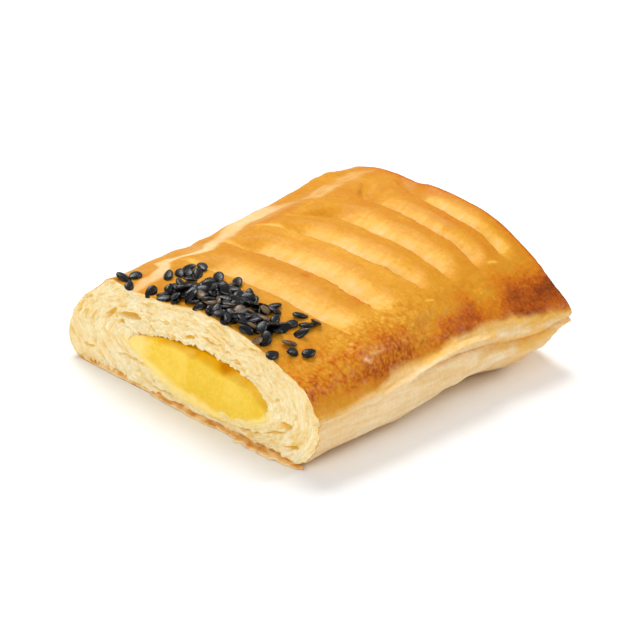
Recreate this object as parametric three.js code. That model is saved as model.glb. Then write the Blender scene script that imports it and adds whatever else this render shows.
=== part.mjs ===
// Half of a baked puff-pastry bar with a sweet potato filling, cut straight across.
// Units are millimetres. +X runs from the folded long side to the sealed long side, +Y from the
// cut face to the baked open end, +Z up. The origin is the middle of the flat underside.
import * as THREE from "three";
import { mergeVertices } from "three/addons/utils/BufferGeometryUtils.js";

// Driving sizes
const LENGTH = 79; // cut face to open end
const HALF_WIDTH = 34; // middle to either long side
const CROWN = 25.2; // underside to the top of the slats at the open end
const CUT_SQUASH = 2.1; // how much lower the knife left the crown at the cut
const CUT_Y = -LENGTH / 2;
const END_Y = LENGTH / 2;

// Slashes across the top sheet. Each has a sharp lip on its side nearer the cut, a pale floor, and a
// long rise to the crest of the next puffed slat.
const SLASH_COUNT = 6;
const FIRST_LIP_Y = -23.7;
const SLASH_PITCH = 13.6;
const SLASH_CLOSING = 0.45; // the pitch shrinks by twice this for each slash
const SLASH_DEPTH = 1.8;
const SLASH_PROFILE = { drop: 0.1, rise: 0.12, crest: 0.76 }; // parts of the pitch after the lip
const SLASH_REACH = { from: -19, to: 22, run_out: 7 }; // ends of the slashes along X
const SLASH_SWEEP = { from: -4, bend: 0.0032, fade: 14 }; // they curve to the open end on one side

// The sealed long side: two stacked sheet edges with a groove between them
const GROOVE_DEPTH = 1.6;
const GROOVE_Z = [12.8, 8.9]; // height where it starts, and near the open end
// The folded long side: a stretched crease between the slats and the rounded fold
const CREASE_X = -24.2;
const CREASE_DEPTH = 1.9;

// The tunnel that holds the filling, and the mouth it widens to at the open end
const TUNNEL = { x: 0.9, z: 9.3, half: 18.6, roof: 5.5, floor: 5.7 };
const MOUTH = { x: 7.6, z: 10.4, half: 21.2, roof: 7.6, floor: 6.0 };
const MOUTH_DEPTH = 24; // how far in the widening reaches
const TUNNEL_SKEW = 0.14; // how much blunter the tunnel is on the sealed side
const FILLING_GAP = 0.3; // clearance all round
const AIR_GAP = 1.4; // free height above the filling at both ends; it closes towards the middle
const AIR_GAP_DEPTH = 26; // how far in from the ends it reaches
const FILLING_SET_BACK = 0.5; // behind the cut face
const END_RAMP = 3.4; // how much further out the filling's foot is than its top, at the open end

// Resolution
const MARGIN_STATIONS = 7; // along the outside, from the cut to the first slash
const SLASH_PHASES = [0, 0.1, 0.28, 0.48, 0.68, 0.88]; // along the outside, from lip to lip
const TUNNEL_STATIONS = { even: 5, mouth: 12 };

const mix = THREE.MathUtils.lerp;
const clamp = THREE.MathUtils.clamp;
// 0 before a, 1 after b, and a smooth rise between them
const smooth = (a, b, v) => THREE.MathUtils.smoothstep(v, a, b);
// 1 at the centre, fading to 0 at a distance of reach
const hump = (v, centre, reach) => 1 - smooth(0, reach, Math.abs(v - centre));
const spread = (count, from, to) =>
  Array.from({ length: count }, (_, i) => mix(from, to, i / (count - 1)));

// Where the lip of slash k lies along Y, at the middle of the bar.
const lipY = (k) => FIRST_LIP_Y + k * SLASH_PITCH - k * k * SLASH_CLOSING;

// Depth of the slashes below the crown, for a point of the top sheet at x on a station.
function slashDepth(x, station) {
  if (station <= FIRST_LIP_Y) return 0;
  const { from, to, run_out } = SLASH_REACH;
  const across = smooth(from, from + run_out, x) * (1 - smooth(to - run_out, to, x));
  const lips = Array.from({ length: SLASH_COUNT }, (_, k) => k).filter((k) => lipY(k) <= station);
  const last = lips.length - 1;
  const phase = (station - lipY(last)) / (lipY(last + 1) - lipY(last));
  const { drop, rise, crest } = SLASH_PROFILE;
  return SLASH_DEPTH * across * smooth(0, drop, phase) * (1 - smooth(rise, crest, phase));
}

// Stations of the outside: even before the first slash, then at the same phases of each slash.
function outerStations() {
  const stations = spread(MARGIN_STATIONS, CUT_Y, FIRST_LIP_Y).slice(0, -1);
  for (let k = 0; k < SLASH_COUNT; k++) {
    for (const phase of SLASH_PHASES) stations.push(mix(lipY(k), lipY(k + 1), phase));
  }
  return [...stations.filter((y) => y < END_Y - 0.5), END_Y];
}

// How far the slashes, and the stations with them, bend towards the open end at x.
function sweep(x, station) {
  const { from, bend, fade } = SLASH_SWEEP;
  const inside = smooth(CUT_Y, CUT_Y + fade, station) * (1 - smooth(END_Y - fade, END_Y, station));
  return bend * Math.max(0, x - from) ** 2 * inside;
}

// Control points of the outer outline at a station, counter-clockwise seen from the cut, from the
// middle of the underside. Each is [x, z, steps to the next point].
function outlinePoints(y) {
  const along = (y - CUT_Y) / LENGTH;
  const afterCut = smooth(CUT_Y, CUT_Y + 12, y);
  const nearCut = 1 - smooth(CUT_Y, CUT_Y + 20, y); // the knife pressed the shoulders down
  const nearEnd = smooth(22, END_Y, y);
  const crown = CROWN - CUT_SQUASH * (1 - smooth(0, 0.8, along));
  // sealed side: the foot curls up in the middle and at the far corner
  const opened = smooth(-18, 4, y);
  const curl = 3.4 * hump(y, 8, 20) + 7.0 * smooth(24, END_Y, y);
  const footZ = 4.9 + 0.55 * curl;
  const edgeX = 33.2 - 2.9 * hump(y, 4, 34);
  const edgeZ = 12.2 + 2.3 * hump(y, 6, 34) - nearEnd;
  const grooveStart = mix(...GROOVE_Z, smooth(2, 30, y));
  const grooveZ = Math.min(grooveStart, edgeZ - 1.4) + 1.2 * smooth(28, END_Y, y);
  const groove = GROOVE_DEPTH * opened * (1 - 0.55 * nearEnd);
  const sideZ = Math.max(Math.min(8.6, grooveZ - 2.2), footZ + 0.5);
  const lipX = HALF_WIDTH - 0.5 - 0.9 * opened * (1 - nearEnd);
  const lipZ = mix(grooveZ + 0.6, Math.min(grooveZ + 1.9, edgeZ - 0.3), opened);
  // folded side
  const foldRise = smooth(-6, 24, y);
  const crease = CREASE_DEPTH * afterCut * (1 - 0.4 * nearEnd);
  const ripple = 0.9 * hump(y, 0, 8) - 0.8 * hump(y, 16, 9) + 1.4 * hump(y, 33, 11);
  return [
    [0, 0, 3],
    [20.5, 0, 2],
    [25.6 - 0.6 * curl, 0, 2],
    [29.4, 1.6 + 0.9 * curl, 2],
    [32.6, footZ, 2],
    [HALF_WIDTH - 0.3, sideZ, 2],
    [HALF_WIDTH - 0.6 - groove, grooveZ, 2],
    [lipX, lipZ, 2],
    [edgeX + 0.2, edgeZ, 1],
    [edgeX - 1, edgeZ + 1.6, 2],
    [28.2 - 0.6 * opened, 18.9 - 1.5 * opened - 1.4 * nearEnd - 1.3 * nearCut, 3],
    [22.2, 21.4 - 0.6 * opened - 1.2 * nearEnd - 1.5 * nearCut, 4],
    [11.2, crown - 0.3 - 0.8 * along, 4],
    [0, crown, 4],
    [-11.2, crown - 1.1 + 0.4 * along - 0.7 * nearCut, 4],
    [-19.6, crown - 1.9 + 0.8 * along - 0.6 * nearCut - 0.5 * nearEnd, 3],
    [CREASE_X, 21.6 - crease + 2.6 * foldRise - 0.6 * nearEnd - 1.2 * nearCut, 3],
    [-28.3 + 0.4 * nearCut, 18.0 + ripple + 3.2 * foldRise - 1.3 * nearEnd - 0.9 * nearCut, 3],
    [-32.0 + 0.5 * nearCut, 12.9 + ripple + 1.2 * foldRise, 3],
    [-HALF_WIDTH, 7.4, 3],
    [-33.3, 2.4, 2],
    [-29.6, 0, 2],
    [-19.5, 0, 3],
  ];
}

// The outer outline at a station as a closed ring of points.
function outerRing(station) {
  const controls = outlinePoints(station);
  const curve = new THREE.CatmullRomCurve3(
    controls.map(([x, z]) => new THREE.Vector3(x, 0, z)),
    true,
    "centripetal",
  );
  const ring = [];
  controls.forEach(([, , steps], i) => {
    for (let k = 0; k < steps; k++) {
      const p = curve.getPoint((i + k / steps) / controls.length);
      const onTop = smooth(16, 20, p.z);
      p.x = clamp(p.x, -HALF_WIDTH, HALF_WIDTH);
      p.y = station + onTop * sweep(p.x, station);
      p.z = Math.max(0, p.z - onTop * slashDepth(p.x, station));
      ring.push(p);
    }
  });
  return ring;
}

// Size of the tunnel at a station: it widens to a mouth at the open end.
function tunnelAt(y) {
  const open = smooth(END_Y - MOUTH_DEPTH, END_Y, y) ** 2;
  const size = {};
  for (const key of Object.keys(TUNNEL)) size[key] = mix(TUNNEL[key], MOUTH[key], open);
  return size;
}

// A point of the lens-shaped tunnel wall at y, in line with the point p of the outline. grow moves
// it outwards all round, and lower takes height off the roof.
function lensPoint(y, p, grow, lower) {
  const t = tunnelAt(y);
  const angle = Math.atan2((p.z - t.z) / (CROWN / 2), (p.x - t.x) / HALF_WIDTH);
  const skew = 1 + TUNNEL_SKEW * Math.cos(angle);
  const rise = Math.sin(angle) > 0 ? t.roof + grow - lower : t.floor + grow;
  return new THREE.Vector3(
    t.x + (t.half + grow) * Math.cos(angle),
    y,
    t.z + rise * skew * Math.sin(angle),
  );
}

// Stations of the tunnel from the cut to the open end, closer together where it widens.
function tunnelStations() {
  const mouthY = END_Y - MOUTH_DEPTH;
  const even = spread(TUNNEL_STATIONS.even, CUT_Y, mouthY);
  return [...even.slice(0, -1), ...spread(TUNNEL_STATIONS.mouth, mouthY, END_Y)];
}

// Joins rings of equally many points into a surface. Where closed, the last ring meets the first;
// otherwise a fan round its own middle closes each end.
function surface(rings, closed) {
  const n = rings[0].length;
  const positions = rings.flat().flatMap((p) => [p.x, p.y, p.z]);
  const index = [];
  const at = (i, j) => (i % rings.length) * n + (j % n);
  const bands = closed ? rings.length : rings.length - 1;
  for (let i = 0; i < bands; i++) {
    for (let j = 0; j < n; j++) {
      index.push(at(i, j), at(i + 1, j), at(i + 1, j + 1));
      index.push(at(i, j), at(i + 1, j + 1), at(i, j + 1));
    }
  }
  // faces of the fan run the other way round on the far end
  const cap = (i, far) => {
    const middle = rings[i].reduce((sum, p) => sum.add(p), new THREE.Vector3()).divideScalar(n);
    const hub = positions.length / 3;
    positions.push(middle.x, middle.y, middle.z);
    for (let j = 0; j < n; j++) {
      index.push(hub, at(i, far ? j + 1 : j), at(i, far ? j : j + 1));
    }
  };
  if (!closed) {
    cap(0, false);
    cap(rings.length - 1, true);
  }
  const geometry = new THREE.BufferGeometry();
  geometry.setAttribute("position", new THREE.Float32BufferAttribute(positions, 3));
  geometry.setIndex(index);
  const merged = mergeVertices(geometry, 1e-4);
  merged.computeVertexNormals();
  return merged;
}

// The pastry: its outside from the cut to the open end, and back through the tunnel to the cut.
function pastry() {
  const outside = outerStations().map(outerRing);
  const around = outerRing(0);
  const inside = tunnelStations()
    .reverse()
    .map((y) => around.map((p) => lensPoint(y, p, 0, 0)));
  return surface([...outside, ...inside], true);
}

// The filling: it lies on the tunnel's floor, set back at the cut, with a sloping end at the mouth.
function filling() {
  const around = outerRing(0);
  const rings = tunnelStations().map((station) => {
    const nearMouth = smooth(END_Y - MOUTH_DEPTH, END_Y, station);
    const y = clamp(station, CUT_Y + FILLING_SET_BACK, END_Y - FILLING_SET_BACK);
    const lower = AIR_GAP * (1 - smooth(0, AIR_GAP_DEPTH, END_Y - Math.abs(y)));
    return around.map((p) => {
      const height = clamp((p.z - MOUTH.z + MOUTH.floor) / MOUTH.roof, 0, 1);
      return lensPoint(y - END_RAMP * height * nearMouth, p, -FILLING_GAP, lower);
    });
  });
  return surface(rings, false);
}

function mesh(name, geometry, color, roughness) {
  const material = new THREE.MeshStandardMaterial({ color, roughness, metalness: 0 });
  const made = new THREE.Mesh(geometry, material);
  made.name = name;
  return made;
}

const pie = new THREE.Group();
pie.add(mesh("pastry", pastry(), 0xe0a040, 0.45));
pie.add(mesh("filling", filling(), 0xf5ce4a, 0.6));

export default pie;
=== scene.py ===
"""Half of a baked puff-pastry bar with sweet potato filling, cut across, with black sesame seeds.

Lengths in this script are millimetres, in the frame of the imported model, until a mesh is made:
+X from the folded to the sealed long side, +Y from the cut to the baked open end, +Z up.
"""
import itertools
import math

import bpy
import numpy as np
from mathutils import Matrix, Vector


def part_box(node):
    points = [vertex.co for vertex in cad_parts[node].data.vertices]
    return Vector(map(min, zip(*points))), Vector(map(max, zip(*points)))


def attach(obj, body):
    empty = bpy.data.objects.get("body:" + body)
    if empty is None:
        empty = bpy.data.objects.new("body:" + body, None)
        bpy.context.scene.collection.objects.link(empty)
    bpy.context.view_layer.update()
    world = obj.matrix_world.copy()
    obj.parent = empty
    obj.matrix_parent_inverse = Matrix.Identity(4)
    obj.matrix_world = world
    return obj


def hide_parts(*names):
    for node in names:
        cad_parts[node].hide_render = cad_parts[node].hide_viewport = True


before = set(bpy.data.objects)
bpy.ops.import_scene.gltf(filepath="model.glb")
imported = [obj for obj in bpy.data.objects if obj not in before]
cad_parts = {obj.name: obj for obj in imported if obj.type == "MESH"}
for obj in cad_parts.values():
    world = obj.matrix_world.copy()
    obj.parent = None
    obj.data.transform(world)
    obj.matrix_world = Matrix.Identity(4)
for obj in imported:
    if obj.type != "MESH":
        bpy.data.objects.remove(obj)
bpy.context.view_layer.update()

MM = 0.001

# Sizes taken from the frame
(FOLD_X, CUT_Y, _), (_, END_Y, CROWN) = [[c / MM for c in corner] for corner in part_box("pastry")]
LENGTH = END_Y - CUT_Y
HALF_WIDTH = -FOLD_X
FILLING_CUT_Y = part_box("filling")[0][1] / MM

# Slashes across the top sheet: lips along Y at the middle of the bar, and how each slash lies
FIRST_LIP_Y = CUT_Y + 15.8
SLASH_PITCH = 13.6
SLASH_CLOSING = 0.45
SLASH_COUNT = 6
SLASH_DEPTH = 1.8
SLASH_FROM = [-18.5, -19.5, -17.0, -18.5, -19.5, -16.0]
SLASH_TO = [22.0, 23.0, 22.0, 22.5, 22.5, 21.5]
SLASH_BEND = [0.0030, 0.0042, 0.0060, 0.0022, -0.0020, 0.0]
SLASH_HOOK = [0.0, 0.02, 0.04, 0.14, -0.03, -0.016]
SLASH_HOOK_X = [-9.0, -9.0, -9.0, -9.0, -9.0, 2.0]
SLASH_SHIFT = [0.5, 0.0, 0.2, -0.5, 0.5, -1.0, 0.0]

# Where the floor of each slash turns pale, from the left and to the right, and how deeply the
# crest before each lip is baked
PALE_FROM = [-17.0, -16.5, -17.0, -14.5, -13.5, -6.5]
PALE_FULL = [-8.0, -10.0, -5.0, -5.0, -4.0, -2.0]
PALE_UNTIL = [17.0, 16.0, 14.0, 14.0, 15.0, 15.0]
PALE_TO = [25.0, 23.5, 22.0, 21.0, 21.5, 22.0]
CREST_BAKE = [-0.02, 0.03, -0.07, 0.0, 0.05, 0.07]
SWEEP_FROM_X = -4.0

# The lens-shaped tunnel round the filling, and the mouth it widens to at the open end
TUNNEL = dict(x=0.9, z=9.3, half=18.6, roof=5.5, floor=5.7)
MOUTH = dict(x=7.6, z=10.4, half=21.2, roof=7.6, floor=6.0)
MOUTH_DEPTH = 24.0
TUNNEL_SKEW = 0.14
GROOVE_DEPTH = 1.4

# Resolution of the meshes
AROUND = 560
OUTSIDE_RINGS = 250
MOUTH_RINGS = 22
TUNNEL_RINGS = 26
CUT_RINGS = 60


# ---------------------------------------------------------------- shaping functions

def smooth(a, b, v):
    """0 before a, 1 after b, and a smooth rise between them. The ends may vary from place to place."""
    t = np.clip((np.asarray(v, float) - a) / (b - a), 0, 1)
    return t * t * (3 - 2 * t)


def fade(a, b, v):
    """1 before a, 0 after b, and a smooth fall between them."""
    return 1 - smooth(a, b, v)


def between(a, b, c, d, v):
    """0 before a, 1 from b to c, and 0 after d."""
    return smooth(a, b, v) * fade(c, d, v)


def hump(v, centre, reach):
    """1 at the centre, fading to 0 at a distance of reach."""
    return fade(0, reach, np.abs(np.asarray(v, float) - centre))


def mix(a, b, t):
    """a where t is 0, b where t is 1, and straight between them."""
    return a + (b - a) * t


def axes(grid):
    """X, Y and Z of a grid of points."""
    return np.moveaxis(grid, -1, 0)


# Large odd numbers that scatter the bits of a cell's hash
CELL_FACTORS = (374761393, 668265263, 1440662683)
SEED_FACTOR = 1274126177
LOW_32_BITS = 0xFFFFFFFF


def hashed(cell, seed):
    """A fixed pseudo-random number from -1 to 1 for each whole-number cell."""
    h = sum(part * factor for part, factor in zip(axes(cell), CELL_FACTORS))
    h = (h + seed * SEED_FACTOR) & LOW_32_BITS
    h = ((h ^ (h >> 13)) * SEED_FACTOR) & LOW_32_BITS
    h = h ^ (h >> 16)
    return h / (LOW_32_BITS // 2) - 1


def noise(x, y, z=0.0, seed=0):
    """Smooth noise from about -1 to 1."""
    p = np.stack(np.broadcast_arrays(x, y, z), axis=-1).astype(float)
    cell = np.floor(p).astype(np.int64)
    f = p - cell
    f = f * f * (3 - 2 * f)
    total = np.zeros(p.shape[:-1])
    for corner in itertools.product((0, 1), repeat=3):
        weight = np.prod(np.where(corner, f, 1 - f), axis=-1)
        total += weight * hashed(cell + np.array(corner), seed)
    return total


def fractal(x, y, z=0.0, octaves=3, seed=0):
    """Noise with finer and weaker copies of itself on top."""
    total = sum(noise(x * 2**k, y * 2**k, z * 2**k, seed + k) / 2**k for k in range(octaves))
    return total / (2 - 2 ** (1 - octaves))


def spot(x, y, place, size, angle=0.0):
    """1 at a place, fading to 0 at the rim of an ellipse of half lengths size, turned by angle."""
    c, s = math.cos(math.radians(angle)), math.sin(math.radians(angle))
    dx, dy = x - place[0], y - place[1]
    reach = np.hypot((dx * c + dy * s) / size[0], (dy * c - dx * s) / size[1])
    return fade(0.35, 1.0, reach)


# ---------------------------------------------------------------- outline of the bar

# Places on the outline, counted in its control points
SEALED_SIDE_FROM, SEALED_SIDE_TO = 2.4, 10.4
TOP_EDGE_TO = 13.0
MIDDLE_OF_TOP = 14.0
CREASE_FROM = 16.5
FOLD_FROM = 18.0


def outline_controls(y):
    """Control points of the outline at stations y, from the middle of the underside and
    counter-clockwise seen from the cut: an array by point, x or z, and station."""
    along = (y - CUT_Y) / LENGTH
    after_cut = smooth(CUT_Y, CUT_Y + 12, y)
    near_cut = fade(CUT_Y, CUT_Y + 20, y)
    near_end = smooth(22, END_Y, y)
    crown = CROWN - 2.1 * fade(0, 0.8, along)
    fold_rise = smooth(-6, 24, y)
    opened = smooth(-18, 4, y)
    foot_curl = 3.4 * hump(y, 8, 20) + 7.0 * smooth(24, END_Y, y)
    foot_z = 4.9 + 0.55 * foot_curl
    scallop = 0.35 * np.sin(y / 2.1 + 1.0) + 0.45 * np.sin(y / 4.9)
    edge_x = 33.2 - 2.9 * hump(y, 4, 34)
    edge_z = 12.2 + 2.3 * hump(y, 6, 34) - 1.0 * near_end
    groove_z = np.minimum(mix(12.8, 8.9, smooth(2, 30, y)), edge_z - 1.4) + 1.2 * smooth(28, END_Y, y)
    side_z = np.maximum(np.minimum(8.6, groove_z - 2.2), foot_z + 0.5)
    groove = GROOVE_DEPTH * opened * (1 - 0.55 * near_end)
    crease = 1.9 * after_cut * (1 - 0.4 * near_end)
    ripple = 0.9 * hump(y, 0, 8) - 0.8 * hump(y, 16, 9) + 1.4 * hump(y, 33, 11)
    lip_x = HALF_WIDTH - 0.5 - 0.9 * opened * (1 - near_end)
    points = [
        # underside, from its middle
        (0, 0),
        (20.5, 0),
        (25.6 - 0.6 * foot_curl, 0),
        # sealed side: foot, side, groove and lip
        (29.4, 1.6 + 0.9 * foot_curl),
        (32.6, foot_z),
        (HALF_WIDTH - 0.3, side_z),
        (HALF_WIDTH - 0.5, np.maximum(groove_z - 0.8, side_z + 0.4)),
        (HALF_WIDTH - 0.6 - groove, groove_z),
        (lip_x, groove_z + mix(0.3, 0.8, opened)),
        (lip_x + 0.1, mix(groove_z + 0.7, np.minimum(groove_z + 1.9, edge_z - 0.3), opened)),
        # edge of the top sheet, and the top
        (edge_x + 0.3, edge_z - 0.1 + 0.5 * scallop),
        (edge_x - 1.0, edge_z + 1.6 + 0.4 * scallop),
        (28.2 - 0.6 * opened, 18.9 - 1.5 * opened - 1.4 * near_end - 1.3 * near_cut),
        (22.2, 21.4 - 0.6 * opened - 1.2 * near_end - 1.5 * near_cut),
        (11.2, crown - 0.3 - 0.8 * along),
        (0, crown),
        (-11.2, crown - 1.1 + 0.4 * along - 0.7 * near_cut),
        (-19.6, crown - 1.9 + 0.8 * along - 0.6 * near_cut - 0.5 * near_end),
        (-24.2, 21.6 - crease + 2.6 * fold_rise - 0.6 * near_end - 1.2 * near_cut),
        # folded side and the rest of the underside
        (-28.3 + 0.4 * near_cut, 18.0 + ripple + 3.2 * fold_rise - 1.3 * near_end - 0.9 * near_cut),
        (-32.0 + 0.5 * near_cut, 12.9 + ripple + 1.2 * fold_rise),
        (-HALF_WIDTH, 7.4),
        (-33.3, 2.4),
        (-29.6, 0),
        (-19.5, 0),
    ]
    flat = [[np.broadcast_to(v, y.shape) for v in point] for point in points]
    return np.array(flat, float)


def closed_curve(controls, places):
    """Points of the closed centripetal Catmull-Rom curve through controls. places counts in
    control points. The result is by place, x or z, and station."""
    count = len(controls)
    i = np.floor(places).astype(int)
    t = (places - i)[:, None, None]
    p0, p1, p2, p3 = (controls[(i + k) % count] for k in (-1, 0, 1, 2))
    knots = ((p0, p1), (p1, p2), (p2, p3))
    d0, d1, d2 = (np.sqrt(np.linalg.norm(b - a, axis=1, keepdims=True)) for a, b in knots)
    m1 = ((p1 - p0) / d0 - (p2 - p0) / (d0 + d1) + (p2 - p1) / d1) * d1
    m2 = ((p2 - p1) / d1 - (p3 - p1) / (d1 + d2) + (p3 - p2) / d2) * d1
    bend = 3 * (p2 - p1) - 2 * m1 - m2
    return p1 + m1 * t + bend * t**2 + (2 * (p1 - p2) + m1 + m2) * t**3


def even_places(count, station):
    """Places on the outline that lie evenly along it at a station."""
    controls = outline_controls(np.array([station]))
    fine = np.arange(0, len(controls), 0.02)
    line = closed_curve(controls, fine)[:, :, 0]
    steps = np.linalg.norm(np.diff(line, axis=0, append=line[:1]), axis=1)
    travelled = np.concatenate([[0], np.cumsum(steps)])
    wanted = np.arange(count) / count * travelled[-1]
    return np.interp(wanted, travelled, np.append(fine, len(controls)))


# ---------------------------------------------------------------- relief of the top sheet

def lip_y(k):
    """Where the lip of slash k lies along Y, at the middle of the bar."""
    return FIRST_LIP_Y + k * SLASH_PITCH - k * k * SLASH_CLOSING + SLASH_SHIFT[k]


LIPS = np.array([lip_y(k) for k in range(SLASH_COUNT + 1)])


def sweep(x, station):
    """How far the slashes, and the rings with them, bend towards the open end at x."""
    bend = np.interp(station, LIPS[:-1], SLASH_BEND)
    inside = between(CUT_Y, CUT_Y + 14, END_Y - 8, END_Y, station)
    return bend * np.maximum(0, x - SWEEP_FROM_X) ** 2 * inside


def bent_station(x, station):
    """Stations counted across the slashes, which wander along Y, hook round at the fold and, at the
    third lip, step."""
    wander = 0.5 * noise(x / 6.5, station / 9, seed=11) + 0.16 * noise(x / 1.7, station / 9, seed=12)
    jagged = hump(station, LIPS[1], 4) + hump(station, LIPS[2], 4)
    wander = wander + 0.45 * jagged * smooth(6, 11, x) * noise(x / 0.9, 2.0, seed=15)
    hook = np.interp(station, LIPS[:-1], SLASH_HOOK)
    hook_x = np.interp(station, LIPS[:-1], SLASH_HOOK_X)
    step = 1.2 * hump(station, LIPS[2], 4) * smooth(9.6, 11.2, x)
    return station + wander - step + hook * np.maximum(0, hook_x - x) ** 2


def slash_behind(x, station, y):
    """Depth below the crown, and from 0 to 1 how far the place is a pale floor, in the slash
    whose lip lies before the bent station y."""
    k = np.clip(np.searchsorted(LIPS, y, side="right") - 1, 0, SLASH_COUNT - 1)
    phase = (y - LIPS[k]) / (LIPS[k + 1] - LIPS[k])
    start, stop, pale_from, pale_full, pale_until, pale_to = (
        np.array(v)[k] for v in (SLASH_FROM, SLASH_TO, PALE_FROM, PALE_FULL, PALE_UNTIL, PALE_TO))
    across = between(start, start + 7, stop - 8.0, stop, x)
    widen = 0.7 + 0.3 * across
    depth = across * between(-0.01, 0.09, 0.12 * widen, 0.76 * widen, phase)
    uneven = 1 + 0.25 * noise(x / 9, station / 6, seed=13)
    reach = 8.5 * fade(0.0, 0.3, phase)
    shown = smooth(pale_from, pale_full, x + reach) * fade(pale_until, pale_to, x)
    floor = shown * between(0.0, 0.05, 0.27, 0.76, phase)
    floor = floor * np.where(k < 2, mix(0.5, 1.0, smooth(0.0, 0.2, phase)), 1.0)
    floor = floor * fade(END_Y - 3.9, END_Y - 1.5, y)
    started = phase >= 0
    return SLASH_DEPTH * depth * uneven * started, floor * started


def lip_ahead(x, station, y):
    """How much deeper the crest before the next lip is baked, and from 0 to 1 how far the place is
    its torn lip."""
    k = np.clip(np.searchsorted(LIPS, y, side="right"), 0, SLASH_COUNT - 1)
    to_lip = np.where(LIPS[k] > y, LIPS[k] - y, 99)
    start, stop, crest_bake = (np.array(v)[k] for v in (SLASH_FROM, SLASH_TO, CREST_BAKE))
    crest = between(start, start + 6, stop - 5.0, stop, x) * smooth(-5.4, -1.2, -to_lip) * crest_bake
    torn = ((k == 1) | (k == 2)) * between(3, 9, 18, 21, x) * np.exp(-(((to_lip - 0.2) / 0.45) ** 2))
    return crest, torn * smooth(-0.2, 0.3, noise(x / 1.3, station / 3, seed=14))


def grid_normals(grid):
    """Unit normals of a grid of points by ring and place round the ring."""
    around = np.roll(grid, -1, axis=1) - np.roll(grid, 1, axis=1)
    along = np.gradient(grid, axis=0)
    normal = np.cross(around, along)
    return normal / np.maximum(np.linalg.norm(normal, axis=2, keepdims=True), 1e-9)


def crust_relief(x, y, z, place, margin):
    """How far the crust stands out: puffed all over, blistered in the margin, leaved on the sealed
    side, ragged at the cut, waved along the edge of the fold and wrinkled in the pale crease."""
    lift = smooth(0.2, 2.5, z)
    puff = 0.45 * noise(x / 9, y / 9, z / 9, seed=21) + 0.2 * noise(x / 3.4, y / 3.4, z / 3.4, seed=22)
    blister = np.maximum(0, fractal(x / 2.3, y / 2.3, z / 2.3, 3, seed=24)) ** 1.5
    ridges = (1 - np.abs(noise(x / 1.5, y / 2.6, z / 1.5, seed=29))) ** 4
    side = (place > SEALED_SIDE_FROM + 0.6) & (place < SEALED_SIDE_TO)
    leaves = side * fractal(y / 9, z * 1.5 + 0.5 * noise(y / 8, 0.0, seed=26), 0.0, 2, seed=25)
    broken = noise(place * 2.2, y / 2, seed=27) + 0.6 * noise(place * 6, y / 2, seed=50)
    ragged = np.exp(-(y - CUT_Y) / 1.3) * broken
    fold_edge = hump(place, 19.3, 1.3) * smooth(-24, -14, y)
    puff = puff + 0.9 * fold_edge * fractal(y / 4.2, 0.0, 0.0, 2, seed=59)
    rise = lift * (puff * 0.55 + margin * (0.5 * blister + 0.15 * ridges) + 0.42 * leaves + 0.22 * ragged)
    wrinkle = crease_mask(x, y, place) * noise(x / 2.4 + y / 9, y / 1.5, seed=28)
    return rise + 0.25 * wrinkle


def outside():
    """The grid of points of the crust from the cut to the open end, the row of their places on the
    outline, and the crust's surface masks."""
    stations = np.linspace(CUT_Y, END_Y, OUTSIDE_RINGS)
    places = even_places(AROUND, 0.0)
    flat = closed_curve(outline_controls(stations), places)
    x = np.clip(flat[:, 0, :].T, -HALF_WIDTH, HALF_WIDTH)
    z = np.maximum(flat[:, 1, :].T, 0)
    station = np.repeat(stations[:, None], AROUND, axis=1)
    place = places[None, :]
    top = between(12.2, 12.7, 19.0, 19.9, place)
    bent = bent_station(x, station)
    depth, floor = slash_behind(x, station, bent)
    crest, torn = lip_ahead(x, station, bent)
    y = station + top * sweep(x, station)
    z = z - top * depth
    grid = np.stack([x, y, z], axis=-1)

    margin = smooth(20, 22.5, x + 0.8 * noise(y / 3, 0.0, seed=23)) * smooth(12.5, 15, z)
    grid = grid + grid_normals(grid) * crust_relief(x, y, z, place, margin)[..., None]
    grid[..., 0] = np.clip(grid[..., 0], -HALF_WIDTH - 0.4, HALF_WIDTH + 0.3)
    grid[..., 1] = np.clip(grid[..., 1], CUT_Y, END_Y + 0.5)
    grid[0, :, 1] = CUT_Y
    grid[..., 2] = np.maximum(grid[..., 2], 0)
    masks = dict(floor=top * floor, crest=top * crest, torn=top * torn, margin=margin, top=top)
    return grid, place, masks


# The stretched pale band between the slats and the rounded fold: stations, with the band's
# middle, half width and strength at each
CREASE_Y = [-38, -34, -28, -25, -22, -19, -16, -12, -8, -3, 2, 6, 10, 15, 18, 22, 28, 34, 38]
CREASE_X = [-18.0, -18.5, -20.4, -23.4, -23.0, -20.4, -19.3, -21.2, -22.6, -24.4, -26.6, -26.4, -25.6,
            -22.0, -20.4, -21.3, -22.2, -23.0, -22.0]
CREASE_HALF = [1.4, 1.8, 1.9, 2.4, 2.1, 1.5, 1.6, 2.8, 3.5, 3.0, 2.6, 2.9, 3.2, 1.2, 2.0, 2.6, 2.5, 2.4,
               1.5]
CREASE_SHOWN = [0.5, 0.8, 0.9, 1.0, 1.0, 1.0, 1.0, 0.85, 0.75, 0.9, 1.0, 0.85, 0.85, 0.0, 0.55, 0.7, 0.3,
                0.45, 0.1]


def crease_mask(x, y, place):
    """0 to 1 on the stretched pale band."""
    centre = np.interp(y, CREASE_Y, CREASE_X) + 0.5 * noise(y / 2.5, 0.0, seed=45)
    half = np.interp(y, CREASE_Y, CREASE_HALF)
    band = fade(0.45, 1.1, np.abs(x - centre) / half)
    shown = np.interp(y, CREASE_Y, CREASE_SHOWN) * (place > CREASE_FROM)
    broken = 1 - 0.5 * smooth(0.0, 0.6, noise(x / 1.6, y / 2.4, seed=60)) * smooth(12, 20, y)
    return band * shown * broken * (0.88 + 0.12 * noise(x / 0.9, y / 3, seed=46))


# ---------------------------------------------------------------- how far each place is baked

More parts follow.
